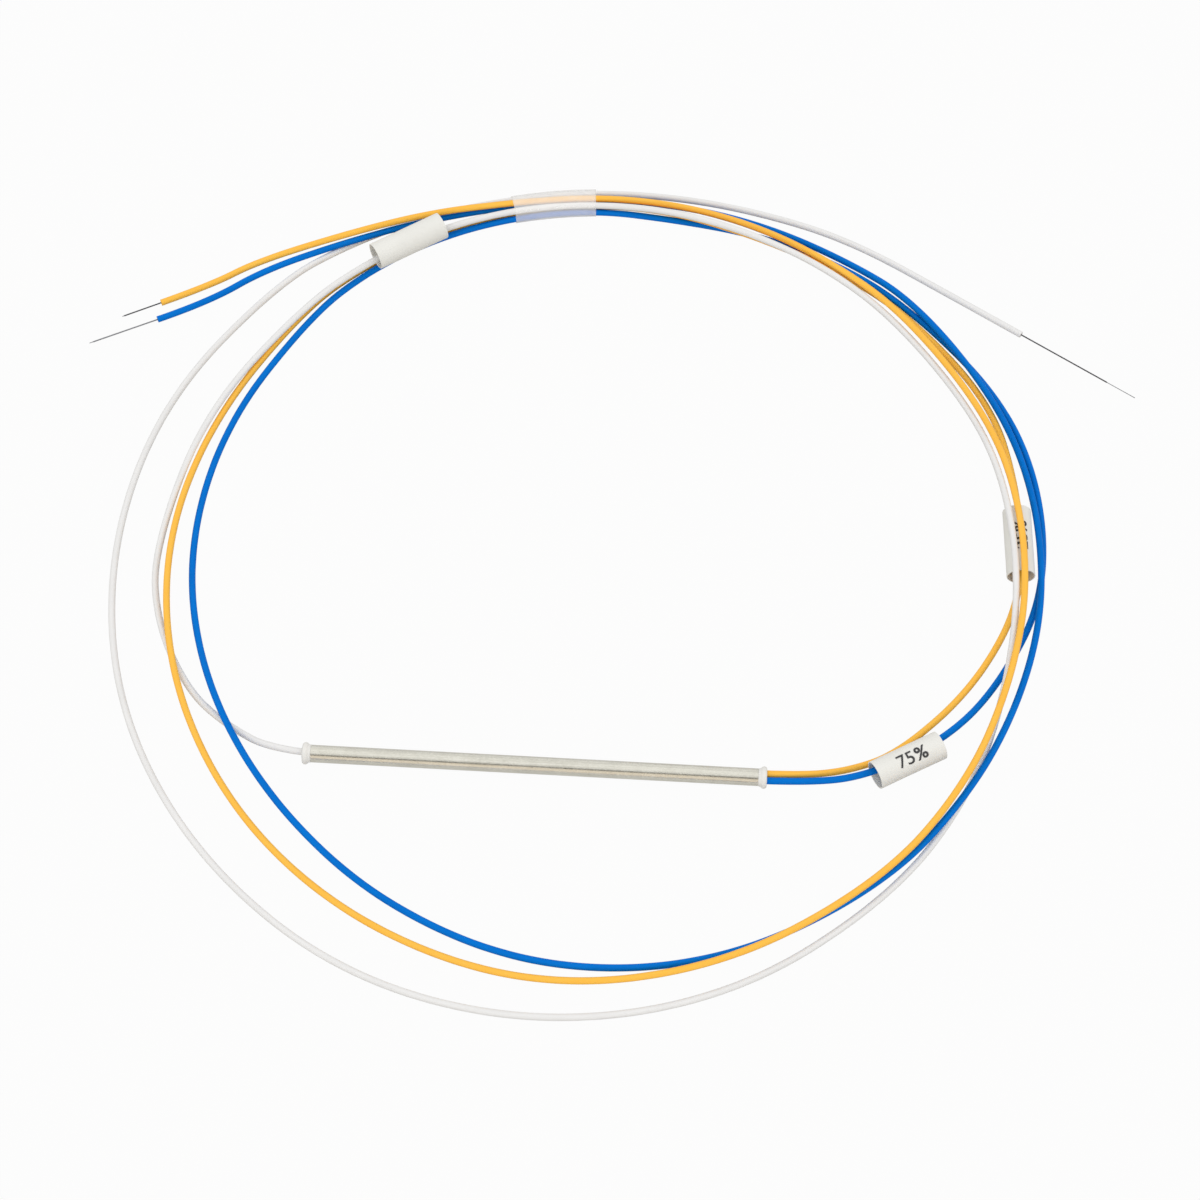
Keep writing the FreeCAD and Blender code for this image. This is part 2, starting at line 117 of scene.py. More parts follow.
WHITE_ROUTE = [
    at(-STRAND_ENTRY, 0.0, ON_AXIS),
    at(-44.2, 0.0, ON_AXIS),
    at(-53.5, 5.2, FLOOR),
    around(9, 69.6, FLOOR),
    around(8.5, 72.5, FLOOR),
    around(8, 73.6, FLOOR),
    around(7, 73.4, 1.9),
    around(6, 73.8, 1.9),
    *WHITE_SLEEVE_RUN,
    around(4.5, 77.2, 2.05),
    around(4, 77.9, 2.05),
    around(3.5, 77.6, 3.4),
    around(3, 77.8, 3.5),
    around(2.5, 78.8, 2.6),
    around(2, 79.8, 0.9),
    around(1.25, 79.5, 2.2),
    around(0.65, 78.5, 6.4),
    around(0, 78.4, 6.4),
    around(-0.6, 78.9, 2.6),
    around(-1.25, 80.4, FLOOR),
    around(-2, 81.6, FLOOR),
    around(-3, 83.3, FLOOR),
    around(-4, 83.8, FLOOR),
    around(-5, 83.8, FLOOR),
    around(-6, 82.5, FLOOR),
    around(-7, 82.2, FLOOR),
    around(-8, 81.6, FLOOR),
    around(-9, 81.9, FLOOR),
    around(-10, 81.7, FLOOR),
    around(-10.5, 81.0, FLOOR),
    around(-11, 80.6, FLOOR),
    *WRAP_OUTER_RUN,
    around(-12.5, 82.8, FLOOR),
    around(-13, 84.8, FLOOR),
    around(-13.5, 87.8, FLOOR),
    at(72.0, 99.2, FLOOR),
    at(83.4, 92.3, FLOOR),
]

YELLOW_ROUTE = [
    at(STRAND_ENTRY, OUTPUT_ASIDE, ON_AXIS),
    at(44.0, OUTPUT_ASIDE, ON_AXIS),
    at(53.0, 2.5, FLOOR),
    around(-1.25, 66.6, FLOOR),
    around(-0.6, 74.0, FLOOR),
    *YELLOW_SLEEVE_RUN,
    around(1.25, 84.1, FLOOR),
    around(2, 82.35, FLOOR),
    around(2.5, 80.3, 0.9),
    around(3, 78.4, 2.0),
    around(3.5, 78.4, 2.0),
    around(4, 78.7, IN_WRAP),
    around(4.5, 77.6, IN_WRAP),
    around(5, 76.6, FLOOR),
    around(5.5, 75.2, FLOOR),
    around(6, 74.0, FLOOR),
    around(7, 72.0, FLOOR),
    around(8, 71.7, 2.1),
    around(9, 72.2, 2.3),
    around(10, 73.2, FLOOR),
    around(11, 74.9, FLOOR),
    around(12, 77.3, FLOOR),
    around(13, 78.4, 2.2),
    around(14, 79.1, 3.2),
    around(14.75, 79.3, 3.8),
    around(15.4, 79.3, 5.0),
    around(16, 80.0, 6.5),
    around(16.65, 80.3, 6.5),
    around(17.25, 80.8, 3.6),
    around(18, 81.2, 2.2),
    around(18.5, 80.6, 2.3),
    around(19, 80.6, 2.1),
    around(19.5, 80.3, 1.9),
    around(20, 79.5, 2.05),
    around(20.5, 78.8, 2.05),
    around(21, 79.1, 3.6),
    around(21.5, 81.6, 3.2),
    around(22, 88.0, FLOOR),
    at(-66.5, 94.6, FLOOR),
    at(-75.4, 90.1, FLOOR),
]

BLUE_ROUTE = [
    at(STRAND_ENTRY, -OUTPUT_ASIDE, ON_AXIS),
    at(44.6, -OUTPUT_ASIDE, ON_AXIS),
    *BLUE_SLEEVE_RUN,
    around(-0.6, 77.4, FLOOR),
    around(0, 83.6, FLOOR),
    around(0.65, 85.9, FLOOR),
    around(1.25, 86.2, FLOOR),
    around(2, 83.6, FLOOR),
    around(2.5, 81.9, FLOOR),
    around(3, 79.7, FLOOR),
    around(3.5, 77.6, FLOOR),
    *WRAP_INNER_RUN,
    around(5, 75.3, FLOOR),
    around(5.5, 73.9, FLOOR),
    around(6, 72.0, FLOOR),
    around(7, 69.4, FLOOR),
    around(8, 67.7, FLOOR),
    around(9, 66.6, 2.4),
    around(10, 67.2, 2.4),
    around(11, 69.9, FLOOR),
    around(12, 74.2, FLOOR),
    around(13, 77.3, FLOOR),
    around(14, 79.6, 1.9),
    around(14.75, 80.6, 2.3),
    around(15.4, 81.9, 2.2),
    around(16, 83.4, 2.0),
    around(16.65, 84.4, 1.9),
    around(17.25, 84.6, 2.05),
    around(18, 84.7, 1.85),
    around(18.5, 83.4, FLOOR),
    around(19, 82.2, FLOOR),
    around(19.5, 81.0, FLOOR),
    around(20, 80.0, IN_WRAP),
    around(20.5, 78.9, IN_WRAP),
    around(21, 78.7, 2.0),
    around(21.5, 80.6, 2.1),
    around(22, 85.6, FLOOR),
    at(-66.5, 90.9, FLOOR),
    at(-75.6, 86.4, FLOOR),
]


class Wire:
    """One output of a node. Sums and products written with it add their Math nodes."""

    def __init__(self, net, socket):
        self.net = net
        self.socket = socket

    def out(self, name):
        """Another output of the same node."""
        return Wire(self.net, self.socket.node.outputs[name])

    def maths(self, operation, *values):
        return self.net.add("ShaderNodeMath", {"operation": operation}, values)

    def __add__(self, other):
        return self.maths("ADD", self, other)

    def __radd__(self, other):
        return self.maths("ADD", other, self)

    def __sub__(self, other):
        return self.maths("SUBTRACT", self, other)

    def __rsub__(self, other):
        return self.maths("SUBTRACT", other, self)

    def __mul__(self, other):
        return self.maths("MULTIPLY", self, other)

    def __rmul__(self, other):
        return self.maths("MULTIPLY", other, self)

    def __truediv__(self, other):
        return self.maths("DIVIDE", self, other)

    def __rtruediv__(self, other):
        return self.maths("DIVIDE", other, self)

    def __gt__(self, other):
        return self.maths("GREATER_THAN", self, other)

    def __lt__(self, other):
        return self.maths("LESS_THAN", self, other)

    def __mod__(self, other):
        return self.maths("MODULO", self, other)


class Net:
    """Adds nodes to one tree: a material's, the world's or one of Geometry Nodes."""

    def __init__(self, tree):
        self.tree = tree

    def add(self, kind, settings=None, values=(), output=0):
        """A node of that type, with its settings first and then its sockets' values or links."""
        node = self.tree.nodes.new(kind)
        for name, value in (settings or {}).items():
            if name == "stops":
                self._set_stops(node.color_ramp, value)
            else:
                setattr(node, name, value)
        pairs = values.items() if isinstance(values, dict) else enumerate(values)
        for key, value in pairs:
            if isinstance(value, Wire):
                self.tree.links.new(value.socket, node.inputs[key])
            elif value is not None:
                node.inputs[key].default_value = value
        return Wire(self, node.outputs[output]) if len(node.outputs) else node

    def _set_stops(self, ramp, stops):
        while len(ramp.elements) < len(stops):
            ramp.elements.new(0.5)
        for element, (place, colour) in zip(ramp.elements, stops):
            element.position = place
            element.color = colour

    def blend(self, factor, first, second):
        """Colour between two colours."""
        settings = {"data_type": "RGBA", "clamp_factor": True}
        return self.add("ShaderNodeMix", settings, {0: factor, 6: first, 7: second}, 2)

    def pick(self, factor, first, second):
        """The first number where the factor is 0, the second where it is 1."""
        settings = {"data_type": "FLOAT"}
        return self.add("ShaderNodeMix", settings, {0: factor, 2: first, 3: second}, 0)

    def vector(self, operation, values):
        return self.add("ShaderNodeVectorMath", {"operation": operation}, values)

    def between(self, factor, low, high):
        """Number from low to high as the factor goes from 0 to 1."""
        return low + factor * (high - low)

    def noise(self, place, scale, detail, roughness):
        values = {"Vector": place, "Scale": scale, "Detail": detail, "Roughness": roughness}
        return self.add("ShaderNodeTexNoise", {}, values, "Fac")

    def stretched(self, place, scale):
        return self.add("ShaderNodeMapping", {}, {"Vector": place, "Scale": scale})

    def bump(self, height, distance):
        return self.add("ShaderNodeBump", {}, {"Height": height, "Distance": distance})


def rgb(red, green, blue):
    """A colour given as it looks on the screen, from 0 to 255, as the linear colour nodes take."""
    linear = []
    for part in (red, green, blue):
        part /= 255.0
        linear.append(part / 12.92 if part <= 0.04045 else ((part + 0.055) / 1.055) ** 2.4)
    return (*linear, 1.0)


def new_material(name):
    material = bpy.data.materials.new(name)
    material.use_nodes = True
    material.node_tree.nodes.clear()
    return material, Net(material.node_tree)


def finish_surface(net, shader):
    net.add("ShaderNodeOutputMaterial", {}, {"Surface": shader})


def object_place(net):
    return net.add("ShaderNodeTexCoord", {}, (), "Object")


def strand_finish(name, colour, dark, light, gloss):
    """Extruded tubing with draw lines, cloudiness and scuffs."""
    material, net = new_material(name)
    lay = net.add("ShaderNodeAttribute", {"attribute_name": "lay"}, (), "Vector")
    draw_lines = net.noise(net.stretched(lay, (40.0, 9.0, 9.0)), 1.0, 4.0, 0.6)
    cloud = net.noise(net.stretched(lay, (160.0, 0.7, 0.7)), 1.0, 3.0, 0.5)
    scuffs = net.noise(net.stretched(lay, (900.0, 3.0, 3.0)), 1.0, 2.0, 0.7)
    body = net.blend(cloud * 1.6 - 0.3, dark, colour)
    body = net.blend((scuffs - 0.6) * 3.0, body, light)
    relief = draw_lines * 0.7 + cloud * 1.2 + scuffs * 0.3
    shader = net.add("ShaderNodeBsdfPrincipled", {}, {
        "Base Color": body,
        "Roughness": net.between(draw_lines, 0.28, 0.46),
        "IOR": 1.49,
        "Specular IOR Level": gloss,
        "Normal": net.bump(relief, 0.00003),
    })
    finish_surface(net, shader)
    return material


def steel_finish():
    """Drawn and brushed stainless tube: long scratches, short flecks and small cloudy marks."""
    material, net = new_material("Brushed stainless")
    place = object_place(net)
    lines = net.noise(net.stretched(place, (60.0, 9000.0, 9000.0)), 1.0, 5.0, 0.65)
    flecks = net.noise(net.stretched(place, (1500.0, 9000.0, 9000.0)), 1.0, 3.0, 0.7)
    cloud = net.noise(place, 420.0, 3.0, 0.5)
    tone = lines * 0.55 + flecks * 0.3 + cloud * 0.15
    colour = net.add("ShaderNodeValToRGB", {"stops": [
        (0.32, rgb(184, 181, 170)),
        (0.52, rgb(215, 213, 202)),
        (0.7, rgb(230, 229, 220)),
    ]}, (tone,))
    shader = net.add("ShaderNodeBsdfPrincipled", {}, {
        "Base Color": colour,
        "Metallic": 1.0,
        "Roughness": net.between(tone, 0.2, 0.34),
        "Normal": net.bump(lines * 0.7 + flecks * 0.3, 0.000006),
    })
    finish_surface(net, shader)
    return material


def moulded_finish(name, colour, mark, roughness, grain, coat=0.0, see_through=0.0):
    """Soft moulded plastic with a fine grain and slightly uneven gloss."""
    material, net = new_material(name)
    place = object_place(net)
    fine = net.noise(place, grain * 3.0, 3.0, 0.6)
    broad = net.noise(place, grain * 0.35, 2.0, 0.5)
    body = net.blend(broad * 1.4 - 0.2, mark, colour)
    shader = net.add("ShaderNodeBsdfPrincipled", {}, {
        "Base Color": body,
        "Roughness": net.between(fine, roughness - 0.08, roughness + 0.12),
        "Coat Weight": coat,
        "Subsurface Weight": see_through,
        "Subsurface Radius": (0.001, 0.001, 0.001),
        "Subsurface Scale": 0.5,
        "Normal": net.bump(fine * 0.6 + broad, 0.000008),
    })
    finish_surface(net, shader)
    return material


def film_finish():
    """Thin milky film: cloudier where it is creased, with a soft gloss."""
    material, net = new_material("Milky film")
    place = object_place(net)
    crease = net.noise(net.stretched(place, (260.0, 520.0, 520.0)), 1.0, 3.0, 0.6)
    fine = net.noise(place, 3200.0, 2.0, 0.6)
    slant = net.add("ShaderNodeLayerWeight", {}, {"Blend": 0.5}, "Facing")
    shader = net.add("ShaderNodeBsdfPrincipled", {}, {
        "Base Color": net.blend(crease, rgb(238, 237, 234), rgb(250, 247, 241)),
        "Roughness": net.between(fine, 0.3, 0.5),
        "Alpha": net.between(crease, 0.22, 0.31) + slant * 0.3,
        "Coat Weight": 0.15,
        "Coat Roughness": 0.25,
        "Normal": net.bump(crease * 0.8 + fine * 0.2, 0.00006),
    })
    finish_surface(net, shader)
    return material


def clear_finish(name, colour, roughness, ior):
    """Glass or set adhesive, with faint ripples."""
    material, net = new_material(name)
    ripple = net.noise(object_place(net), 1400.0, 2.0, 0.5)
    shader = net.add("ShaderNodeBsdfPrincipled", {}, {
        "Base Color": colour,
        "Roughness": net.between(ripple, roughness, roughness + 0.08),
        "Transmission Weight": 1.0,
        "IOR": ior,
        "Normal": net.bump(ripple, 0.000008),
    })
    finish_surface(net, shader)
    return material


def fibre_finish(name, dark, light, roughness):
    """Thin coated or bare fibre: dark in the middle, with small bright flecks along it."""
    material, net = new_material(name)
    place = object_place(net)
    flecks = net.noise(place, 2600.0, 3.0, 0.65)
    shader = net.add("ShaderNodeBsdfPrincipled", {}, {
        "Base Color": net.blend((flecks - 0.45) * 3.0, dark, light),
        "Roughness": net.between(flecks, roughness, roughness + 0.15),
        "Coat Weight": 0.4,
        "Coat Roughness": 0.12,
        "Normal": net.bump(flecks, 0.000004),
    })
    finish_surface(net, shader)
    return material


def ink_finish():
    """Grey-black print, thinner in small spots."""
    material, net = new_material("Marker ink")
    spots = net.noise(object_place(net), 5200.0, 3.0, 0.7)
    shader = net.add("ShaderNodeBsdfPrincipled", {}, {
        "Base Color": net.blend((spots - 0.5) * 3.0, rgb(48, 48, 50), rgb(96, 95, 94)),
        "Roughness": net.between(spots, 0.5, 0.75),
    })
    finish_surface(net, shader)
    return material


STEEL = steel_finish()
WHITE_STRAND = strand_finish(
    "White tubing", rgb(237, 236, 233), rgb(230, 229, 226), rgb(243, 242, 240), 0.25)
YELLOW_STRAND = strand_finish(
    "Orange-yellow tubing", rgb(255, 196, 76), rgb(255, 188, 68), rgb(255, 208, 112), 0.2)
BLUE_STRAND = strand_finish(
    "Blue tubing", rgb(0, 119, 213), rgb(0, 107, 199), rgb(10, 137, 226), 0.05)
PLUG_PLASTIC = moulded_finish(
    "White plug plastic", rgb(238, 236, 230), rgb(230, 228, 221), 0.42, 900.0, coat=0.1)
SLEEVE_PLASTIC = moulded_finish(
    "Marker sleeve plastic", rgb(236, 235, 228), rgb(230, 229, 221), 0.5, 700.0)
INK = ink_finish()
FILM = film_finish()
COAT = fibre_finish("Dark coated fibre", rgb(44, 44, 48), rgb(78, 78, 82), 0.3)
CLEAR_COAT = fibre_finish("Clear coated fibre", rgb(116, 117, 120), rgb(148, 149, 152), 0.25)
GLASS_FIBRE = fibre_finish("Bare glass fibre", rgb(92, 94, 98), rgb(138, 140, 144), 0.12)
SILICA = clear_finish("Silica", (0.96, 0.98, 1.0, 1.0), 0.02, 1.46)
ADHESIVE = clear_finish("Set adhesive", (0.92, 0.72, 0.38, 1.0), 0.12, 1.52)
SEALANT = moulded_finish(
    "Soft sealant", rgb(226, 225, 220), rgb(208, 207, 202), 0.55, 600.0, see_through=0.3)
SHRINK = moulded_finish(
    "Black shrink tube", rgb(44, 44, 46), rgb(30, 30, 32), 0.45, 800.0)


def shape_tree():
    """Geometry Nodes tree that turns a route into a hollow tube, closed at its two ends.

    Its rows run out along the outside and back along the bore, so the last row meets the first.
    The attribute lay holds the distance along the tube and the place round it.
    """
    tree = bpy.data.node_groups.new("Tube along a route", "GeometryNodeTree")
    net = Net(tree)
    tree.interface.new_socket("Route", in_out="INPUT", socket_type="NodeSocketGeometry")
    for name, kind, value in (
        ("Outer Diameter", "NodeSocketFloat", STRAND_DIAMETER),
        ("Bore Diameter", "NodeSocketFloat", STRAND_BORE),
        ("Rings", "NodeSocketInt", TUBE_RINGS),
        ("Sides", "NodeSocketInt", STRAND_SIDES),
        ("Ripple", "NodeSocketFloat", 0.0),
        ("Ripple Scale", "NodeSocketFloat", STRAND_RIPPLE_SCALE),
        ("Seed", "NodeSocketFloat", 0.0),
    ):
        socket = tree.interface.new_socket(name, in_out="INPUT", socket_type=kind)
        socket.default_value = value
    tree.interface.new_socket("Material", in_out="INPUT", socket_type="NodeSocketMaterial")
    tree.interface.new_socket("Tube", in_out="OUTPUT", socket_type="NodeSocketGeometry")
    given = net.add("NodeGroupInput", {}, (), "Route")
    rings = given.out("Rings")
    columns = given.out("Sides") + 1
    grid = net.add("GeometryNodeMeshGrid", {}, {
        "Vertices X": rings * 2 + 3,
        "Vertices Y": columns,
    }, "Mesh")
    index = net.add("GeometryNodeInputIndex")
    column = index % columns
    row = (index - column) / columns
    inside = (row > rings + 0.5) * (row < rings * 2 + 1.5)
    way_back = net.add("ShaderNodeMath", {"operation": "SUBTRACT", "use_clamp": True},
                       ((rings * 2 + 1) / rings, row / rings))
    share = net.pick(row > rings + 0.5, row / rings, way_back)
    turn = column / given.out("Sides") * math.tau
    cosine = net.add("ShaderNodeMath", {"operation": "COSINE"}, (turn,))
    sine = net.add("ShaderNodeMath", {"operation": "SINE"}, (turn,))
    sample = net.add("GeometryNodeSampleCurve", {"mode": "FACTOR", "use_all_curves": True},
                     {"Curves": given, "Factor": share}, "Position")
    side = sample.out("Normal")
    up = net.vector("CROSS_PRODUCT", (sample.out("Tangent"), side))
    length = net.add("GeometryNodeCurveLength", {}, {"Curve": given}) * share
    lay = net.add("ShaderNodeCombineXYZ", {}, (length, cosine, sine))
    spot = net.vector("MULTIPLY", (lay, (1.0, 0.004, 0.004)))
    ripple = net.add("ShaderNodeTexNoise", {"noise_dimensions": "4D"}, {
        "Vector": spot,
        "W": given.out("Seed"),
        "Scale": given.out("Ripple Scale"),
        "Detail": 1.5,
    }, 0)
    diameter = net.pick(inside, given.out("Outer Diameter"), given.out("Bore Diameter"))
    radius = diameter / 2 + (ripple - 0.5) * given.out("Ripple")
    across = net.vector("SCALE", {0: side, "Scale": cosine * radius})
    over = net.vector("SCALE", {0: up, "Scale": sine * radius})
    spoke = net.vector("ADD", (across, over))
    place = net.vector("ADD", (sample, spoke))
    shaped = net.add("GeometryNodeSetPosition", {}, {"Geometry": grid, "Position": place})
    stored = net.add("GeometryNodeStoreNamedAttribute",
                     {"data_type": "FLOAT_VECTOR", "domain": "POINT"},
                     {"Geometry": shaped, "Name": "lay", "Value": lay})
    merged = net.add("GeometryNodeMergeByDistance", {}, {"Geometry": stored, "Distance": 1e-7})
    real = net.add("GeometryNodeRealizeInstances", {}, {"Geometry": merged})
    coloured = net.add("GeometryNodeSetMaterial", {},
                       {"Geometry": real, "Material": given.out("Material")})
    net.add("NodeGroupOutput", {}, {"Tube": coloured})
    return tree


TUBE_TREE = shape_tree()


def curve_object(name, points, kind, resolution=ROUTE_RESOLUTION):
    """An open spline through or near the points, which are in metres."""
    curve = bpy.data.curves.new(name, "CURVE")
    curve.dimensions = "3D"
    curve.resolution_u = resolution
    spline = curve.splines.new(kind)
    spline.points.add(len(points) - 1)
    for slot, point in zip(spline.points, points):
        slot.co = (*point, 1.0)
    if kind == "NURBS":
        spline.order_u = 3
        spline.use_endpoint_u = True
    piece = bpy.data.objects.new(name, curve)
    bpy.context.scene.collection.objects.link(piece)
    return piece


def set_input(modifier, name, value):
    """Sets an input of the modifier's tree, found by its name."""
    for item in modifier.node_group.interface.items_tree:
        if item.item_type == "SOCKET" and item.in_out == "INPUT" and item.name == name:
            modifier[item.identifier] = value


def remove_curve(source):
    """Removes a curve or a text from the scene, with its data."""
    data = source.data
    bpy.data.objects.remove(source)
    bpy.data.curves.remove(data)


def evaluated_mesh(source):
    """The evaluated shape of a curve or a text, as a mesh. The source is removed."""
    graph = bpy.context.evaluated_depsgraph_get()
    mesh = bpy.data.meshes.new_from_object(source.evaluated_get(graph), depsgraph=graph)
    remove_curve(source)
    return mesh


def mesh_object(name, mesh):
    piece = bpy.data.objects.new(name, mesh)
    bpy.context.scene.collection.objects.link(piece)
    return piece


def baked(source, name):
    """The evaluated shape of a curve as a plain mesh object of its own."""
    mesh = evaluated_mesh(source)
    mesh.name = name
    return mesh_object(name, mesh)


def smoothed(piece, angle=35.0):
    """Faces that point outwards, shaded smooth below the angle, which is in degrees."""
    work = bmesh.new()
    work.from_mesh(piece.data)
    bmesh.ops.remove_doubles(work, verts=work.verts, dist=1e-8)
    bmesh.ops.recalc_face_normals(work, faces=work.faces)
    work.to_mesh(piece.data)
    work.free()
    piece.data.shade_smooth()
    piece.data.set_sharp_from_angle(angle=math.radians(angle))
    return piece


def tube_piece(name, points, kind, material, outer, bore, rings, sides, **extras):
    """A hollow tube made by the tree along the given points."""
    source = curve_object(name + " route", points, kind)
    modifier = source.modifiers.new("Tube", "NODES")
    modifier.node_group = TUBE_TREE
    values = {
        "Outer Diameter": outer,
        "Bore Diameter": bore,
        "Rings": rings,
        "Sides": sides,
        "Material": material,
        **extras,
    }
    for label, value in values.items():
        set_input(modifier, label.replace("_", " "), value)
    return smoothed(baked(source, name))


def spline_points(points):
    """The points that the route's spline goes through, from a curve with no thickness."""
    mesh = evaluated_mesh(curve_object("Route line", points, "NURBS", PATH_RESOLUTION))
    line = [vertex.co.copy() for vertex in mesh.vertices]
    bpy.data.meshes.remove(mesh)
    return line


def smooth_copy(name, node, material):
    """A CAD node's own shape, merged and shaded smooth, to stand for that node."""
    piece = mesh_object(name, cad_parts[node].data.copy())
    piece.data.materials.clear()
    piece.data.materials.append(material)
    smoothed(piece, 30.0)
    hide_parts(node)
    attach(piece, "coupler")
    return piece


def lathe(name, profile, start, direction, sides, materials):
    """A closed solid turned round an axis. The profile is (distance, radius, material) rows."""
    turned = direction.to_track_quat("X", "Z").to_matrix()
    work = bmesh.new()
    rings = []
    for distance, radius, _ in profile:
        ring = []
        for side in range(sides):
            angle = math.tau * side / sides
            local = Vector((distance, radius * math.cos(angle), radius * math.sin(angle)))
            ring.append(work.verts.new(start + turned @ local))
        rings.append(ring)
    for (_, _, number), near, far in zip(profile, rings, rings[1:]):
        for side in range(sides):
            after = (side + 1) % sides
            face = work.faces.new((near[side], near[after], far[after], far[side]))
            face.material_index = number
    work.faces.new(rings[0])
    last = work.faces.new(rings[-1])
    last.material_index = profile[-1][2]
    mesh = bpy.data.meshes.new(name)
    work.to_mesh(mesh)
    work.free()
    for material in materials:
        mesh.materials.append(material)
    return smoothed(mesh_object(name, mesh))


# Pigtails

def loose_tube(name, node, route, material, seed):
    """The thin tube of a pigtail, open at its cut end, laid along its route."""
    points = [point * MM for point in route]
    piece = tube_piece(
        name, points, "NURBS", material,
        STRAND_DIAMETER, STRAND_BORE, STRAND_RINGS, STRAND_SIDES,
        Ripple=STRAND_RIPPLE, Ripple_Scale=STRAND_RIPPLE_SCALE, Seed=seed)
    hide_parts(node)
    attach(piece, "coupler")
    return piece


def fibre_end(name, node, route, length, stripped, coating):
    """The coated fibre that stands out of the tube, stripped to bare glass near its tip.

    The length and the stripped part of it are in millimetres.
    """
    direction = (route[-1] - route[-2]).normalized()
    coat = COAT_DIAMETER / 2
    glass = GLASS_DIAMETER / 2
    bare_from = (length - stripped) * MM
    profile = [
        (-FIBRE_INSIDE, coat, 0),
        (0.0, coat, 0),
        (bare_from * 0.5, coat, 0),
        (bare_from, coat, 0),
        (bare_from + STRIP_TAPER, glass, 1),
        (length * MM - TIP_EDGE, glass, 1),
        (length * MM, glass * TIP_SHARE, 1),
    ]
    piece = lathe(name, profile, route[-1] * MM, direction, FIBRE_SIDES, [coating, GLASS_FIBRE])
    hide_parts(node)
    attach(piece, "coupler")
    return piece


white_tube = loose_tube(
    "White_loose_tube", "white_loose_tube", WHITE_ROUTE, WHITE_STRAND, seed=1.0)
yellow_tube = loose_tube(
    "Yellow_loose_tube", "yellow_loose_tube", YELLOW_ROUTE, YELLOW_STRAND, seed=2.0)
blue_tube = loose_tube(
    "Blue_loose_tube", "blue_loose_tube", BLUE_ROUTE, BLUE_STRAND, seed=3.0)
white_end = fibre_end("White_fibre_end", "white_fibre_end", WHITE_ROUTE, 24.0, 6.0, COAT)
yellow_end = fibre_end("Yellow_fibre_end", "yellow_fibre_end", YELLOW_ROUTE, 7.6, 0.5, COAT)
blue_end = fibre_end("Blue_fibre_end", "blue_fibre_end", BLUE_ROUTE, 13.2, 0.8, CLEAR_COAT)


# Steel tube and end plugs

tube_ends = [Vector((side * TUBE_LENGTH / 2, 0.0, ON_AXIS * MM)) for side in (-1, 1)]
steel_tube = tube_piece(
    "Steel_tube", tube_ends, "POLY", STEEL, TUBE_DIAMETER, TUBE_BORE, TUBE_RINGS, TUBE_SIDES)
edge = steel_tube.modifiers.new("Edge", "BEVEL")
edge.width = TUBE_EDGE
edge.segments = 3
edge.limit_method = "ANGLE"
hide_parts("steel_tube")
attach(steel_tube, "coupler")

input_plug = smooth_copy("Input_end_plug", "input_end_plug", PLUG_PLASTIC)
output_plug = smooth_copy("Output_end_plug", "output_end_plug", PLUG_PLASTIC)


# Marker sleeves with their figures

def sleeve_axis(run, share, aside, length, height):
    """Start, end, direction and middle of a sleeve that lies level round its run, in metres.

    The middle stands at a share of the way along the run, and aside of it to the right.
    """
    first, last = run
    direction = Vector((last.x - first.x, last.y - first.y, 0.0)).normalized()
    middle = first + (last - first) * share + Vector((direction.y, -direction.x, 0.0)) * aside
    middle = Vector((middle.x, middle.y, height)) * MM
    half = direction * (length * MM / 2)
    return middle - half, middle + half, direction, middle


def marker_sleeve(name, node, body, run, share, aside, length, height, seed):
    """A short, slightly uneven tube that hangs loose on its strand."""
    start, end, direction, middle = sleeve_axis(run, share, aside, length, height)
    piece = tube_piece(
        name, [start, end], "POLY", SLEEVE_PLASTIC,
        SLEEVE_DIAMETER, SLEEVE_BORE, SLEEVE_RINGS, SLEEVE_SIDES,
        Ripple=SLEEVE_RIPPLE, Ripple_Scale=SLEEVE_RIPPLE_SCALE, Seed=seed)
    edge = piece.modifiers.new("Edge", "BEVEL")
    edge.width = SLEEVE_EDGE
    edge.segments = 2
    edge.limit_method = "ANGLE"
    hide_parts(node)
    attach(piece, body)
    return piece, direction, middle


def flat_text(words, weight, shift):
    """A flat mesh of the words, centred on the origin and then shifted along its line."""
    text = bpy.data.curves.new("Print", "FONT")
    text.body = words
    text.size = PRINT_HEIGHT / CAPITAL_SHARE
    text.align_x = "CENTER"
    text.align_y = "CENTER"
    text.offset = weight
    source = bpy.data.objects.new("Print", text)
    bpy.context.scene.collection.objects.link(source)
    mesh = evaluated_mesh(source)
    mesh.transform(Matrix.Translation((shift, 0, 0)))
    return mesh


def printed(name, figures, body, middle, direction, along, turn, boldness):
    """Two figures and a bold percent sign, printed flat and rolled onto a sleeve's outside."""
    work = bmesh.new()
    for words, weight, shift in (
        (figures, boldness, FIGURES_SHIFT),
        ("%", PERCENT_BOLDNESS, PERCENT_SHIFT),
    ):
        mesh = flat_text(words, weight, shift)
        work.from_mesh(mesh)
        bpy.data.meshes.remove(mesh)
    long_edges = [edge for edge in work.edges if edge.calc_length() > PRINT_LONGEST_EDGE]
    bmesh.ops.subdivide_edges(work, edges=long_edges, cuts=2)
    bmesh.ops.triangulate(work, faces=work.faces)
    sideways = Vector((-direction.y, direction.x, 0.0))
    radius = SLEEVE_DIAMETER / 2 + SLEEVE_RIPPLE / 2 + PRINT_LIFT
    for vertex in work.verts:
        angle = vertex.co.y / radius + turn
        spoke = sideways * math.sin(angle) + Vector((0.0, 0.0, math.cos(angle)))
        vertex.co = middle + direction * (vertex.co.x + along) + spoke * radius
    mesh = bpy.data.meshes.new(name)
    work.to_mesh(mesh)
    work.free()
    mesh.materials.append(INK)
    piece = mesh_object(name, mesh)
    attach(piece, body)
    return piece


